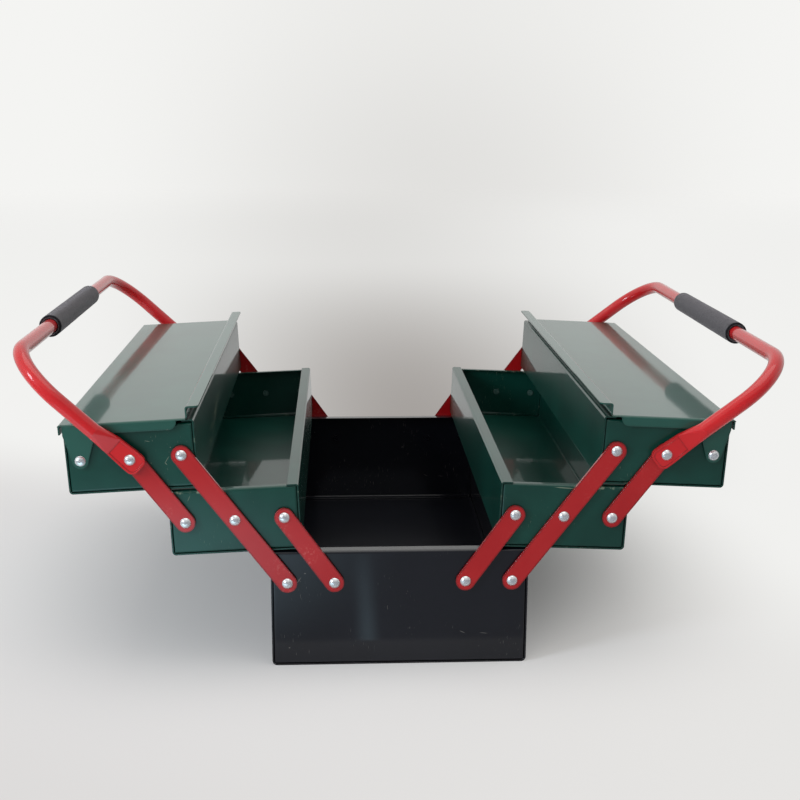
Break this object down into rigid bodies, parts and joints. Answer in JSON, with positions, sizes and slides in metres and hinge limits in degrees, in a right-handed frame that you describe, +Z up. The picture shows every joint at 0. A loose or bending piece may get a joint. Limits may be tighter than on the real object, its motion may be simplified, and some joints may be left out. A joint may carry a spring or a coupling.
{
  "type": "cantilever tool box",
  "caption": "Folded-steel cantilever tool box, fully open: deep bottom box, tiers of trays on riveted arms, lidded top trays and tube handles with foam grips.",
  "frame": {"origin": "middle of the bottom box's underside", "axes": "+Z up, +Y along the box from the near end to the far end, +X to the right"},
  "size_m": [0.5985, 0.4628, 0.2578],
  "materials": {
    "box_enamel": "gloss",
    "tray_enamel": "gloss",
    "lid_enamel": "gloss",
    "arm_enamel": "gloss",
    "handle_enamel": "gloss",
    "foam": "matte",
    "zinc": "bright"
  },
  "bodies": {
    "box": {"box_shell": "box_enamel", "box_front_end": "box_enamel", "box_rear_end": "box_enamel", "box_rivets": "zinc"},
    "left_long_arms": {"left_front_long_arm": "arm_enamel", "left_rear_long_arm": "arm_enamel"},
    "left_inner_arms": {"left_front_inner_arm": "arm_enamel", "left_rear_inner_arm": "arm_enamel"},
    "left_outer_arms": {"left_front_outer_arm": "arm_enamel", "left_rear_outer_arm": "arm_enamel"},
    "left_middle_tray": {"left_middle_shell": "tray_enamel", "left_middle_front_end": "tray_enamel", "left_middle_rear_end": "tray_enamel", "left_middle_rivets": "zinc"},
    "left_top_tray": {"left_top_shell": "tray_enamel", "left_top_front_end": "tray_enamel", "left_top_rear_end": "tray_enamel", "left_top_rivets": "zinc", "left_handle_washers": "zinc"},
    "left_lid_body": {"left_lid": "lid_enamel"},
    "left_handle_body": {"left_handle": "handle_enamel", "left_grip": "foam"},
    "right_long_arms": {"right_front_long_arm": "arm_enamel", "right_rear_long_arm": "arm_enamel"},
    "right_inner_arms": {"right_front_inner_arm": "arm_enamel", "right_rear_inner_arm": "arm_enamel"},
    "right_outer_arms": {"right_front_outer_arm": "arm_enamel", "right_rear_outer_arm": "arm_enamel"},
    "right_middle_tray": {"right_middle_shell": "tray_enamel", "right_middle_front_end": "tray_enamel", "right_middle_rear_end": "tray_enamel", "right_middle_rivets": "zinc"},
    "right_top_tray": {"right_top_shell": "tray_enamel", "right_top_front_end": "tray_enamel", "right_top_rear_end": "tray_enamel", "right_top_rivets": "zinc", "right_handle_washers": "zinc"},
    "right_lid_body": {"right_lid": "lid_enamel"},
    "right_handle_body": {"right_handle": "handle_enamel", "right_grip": "foam"}
  },
  "joints": [
    {"name": "left_fold", "type": "hinge", "parent": "box", "child": "left_long_arms", "pos_m": [-0.08715, 0, 0.06913], "axis": [0, 1, 0], "range_deg": [0, 70.19]},
    {"name": "left_middle_level", "type": "hinge", "parent": "left_long_arms", "child": "left_middle_tray", "pos_m": [-0.12615, 0, 0.12088], "axis": [0, 1, 0], "range_deg": [-70.19, 0.5]},
    {"name": "left_top_level", "type": "hinge", "parent": "left_long_arms", "child": "left_top_tray", "pos_m": [-0.16515, 0, 0.17264], "axis": [0, 1, 0], "range_deg": [-70.19, 0.5]},
    {"name": "left_inner_arm_swing", "type": "hinge", "parent": "box", "child": "left_inner_arms", "pos_m": [-0.05082, 0, 0.06913], "axis": [0, 1, 0], "range_deg": [-0.5, 70.19]},
    {"name": "left_outer_arm_swing", "type": "hinge", "parent": "left_middle_tray", "child": "left_outer_arms", "pos_m": [-0.16361, 0, 0.11925], "axis": [0, 1, 0], "range_deg": [-0.5, 70.19]},
    {"name": "left_lid_hinge", "type": "hinge", "parent": "left_top_tray", "child": "left_lid_body", "pos_m": [-0.24005, 0, 0.16884], "axis": [0, -1, 0], "range_deg": [0, 64]},
    {"name": "left_handle_swing", "type": "hinge", "parent": "left_top_tray", "child": "left_handle_body", "pos_m": [-0.2026, 0, 0.17074], "axis": [0, -1, 0], "range_deg": [-66, 30]},
    {"name": "right_fold", "type": "hinge", "parent": "box", "child": "right_long_arms", "pos_m": [0.08715, 0, 0.06913], "axis": [0, -1, 0], "range_deg": [0, 70.19]},
    {"name": "right_middle_level", "type": "hinge", "parent": "right_long_arms", "child": "right_middle_tray", "pos_m": [0.12615, 0, 0.12088], "axis": [0, -1, 0], "range_deg": [-70.19, 0.5]},
    {"name": "right_top_level", "type": "hinge", "parent": "right_long_arms", "child": "right_top_tray", "pos_m": [0.16515, 0, 0.17264], "axis": [0, -1, 0], "range_deg": [-70.19, 0.5]},
    {"name": "right_inner_arm_swing", "type": "hinge", "parent": "box", "child": "right_inner_arms", "pos_m": [0.05082, 0, 0.06913], "axis": [0, -1, 0], "range_deg": [-0.5, 70.19]},
    {"name": "right_outer_arm_swing", "type": "hinge", "parent": "right_middle_tray", "child": "right_outer_arms", "pos_m": [0.16361, 0, 0.11925], "axis": [0, -1, 0], "range_deg": [-0.5, 70.19]},
    {"name": "right_lid_hinge", "type": "hinge", "parent": "right_top_tray", "child": "right_lid_body", "pos_m": [0.24005, 0, 0.16884], "axis": [0, 1, 0], "range_deg": [0, 64]},
    {"name": "right_handle_swing", "type": "hinge", "parent": "right_top_tray", "child": "right_handle_body", "pos_m": [0.2026, 0, 0.17074], "axis": [0, 1, 0], "range_deg": [-72, 25]}
  ],
  "couplings": [
    {"joint": "left_middle_level", "follows": "left_fold", "ratio": -0.96438},
    {"joint": "left_top_level", "follows": "left_fold", "ratio": -0.95869},
    {"joint": "left_inner_arm_swing", "follows": "left_fold", "ratio": 0.98863},
    {"joint": "left_outer_arm_swing", "follows": "left_fold", "ratio": 0.96625},
    {"joint": "right_middle_level", "follows": "right_fold", "ratio": -0.96438},
    {"joint": "right_top_level", "follows": "right_fold", "ratio": -0.95869},
    {"joint": "right_inner_arm_swing", "follows": "right_fold", "ratio": 0.98863},
    {"joint": "right_outer_arm_swing", "follows": "right_fold", "ratio": 0.96625}
  ]
}
